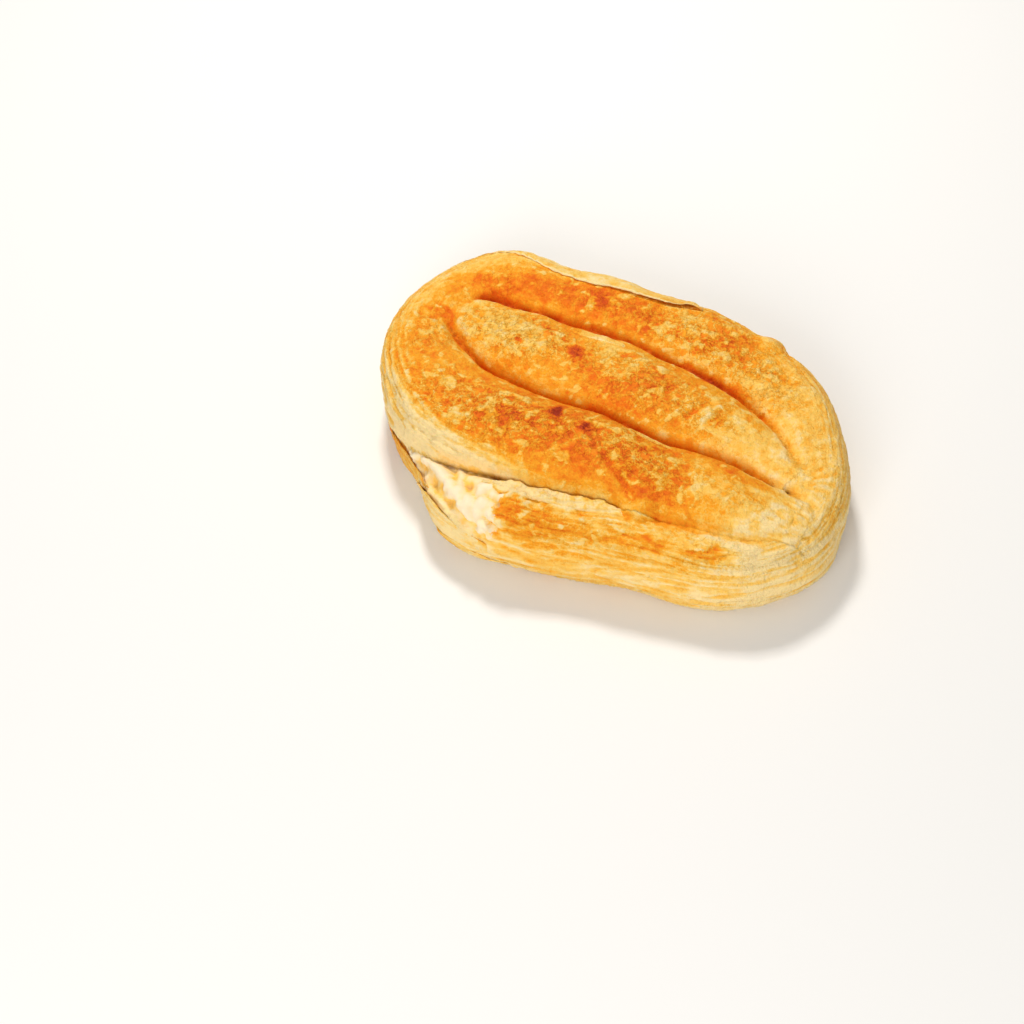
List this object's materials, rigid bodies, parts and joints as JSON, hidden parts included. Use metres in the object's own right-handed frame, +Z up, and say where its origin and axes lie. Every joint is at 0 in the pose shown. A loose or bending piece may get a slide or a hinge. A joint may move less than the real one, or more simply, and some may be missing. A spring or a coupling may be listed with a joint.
{
  "type": "coiled borek",
  "caption": "Baked borek: a rolled dough rope folded and wound into a flattened oval coil, golden brown on top, with torn pale dough at one end and a flat underside.",
  "frame": {"origin": "centre of the bounding box's footprint, on the surface it rests on", "axes": "+Z up; +X along the coil's long axis, towards the smooth turn; +Y towards the rear, away from the side with the closing run"},
  "size_m": [0.2216, 0.153, 0.0457],
  "materials": {
    "crust": "baked dough crust, golden to orange-brown on the crests and pale cream in the folds, satin"
  },
  "bodies": {
    "root": {"borek": "crust"}
  },
  "joints": []
}
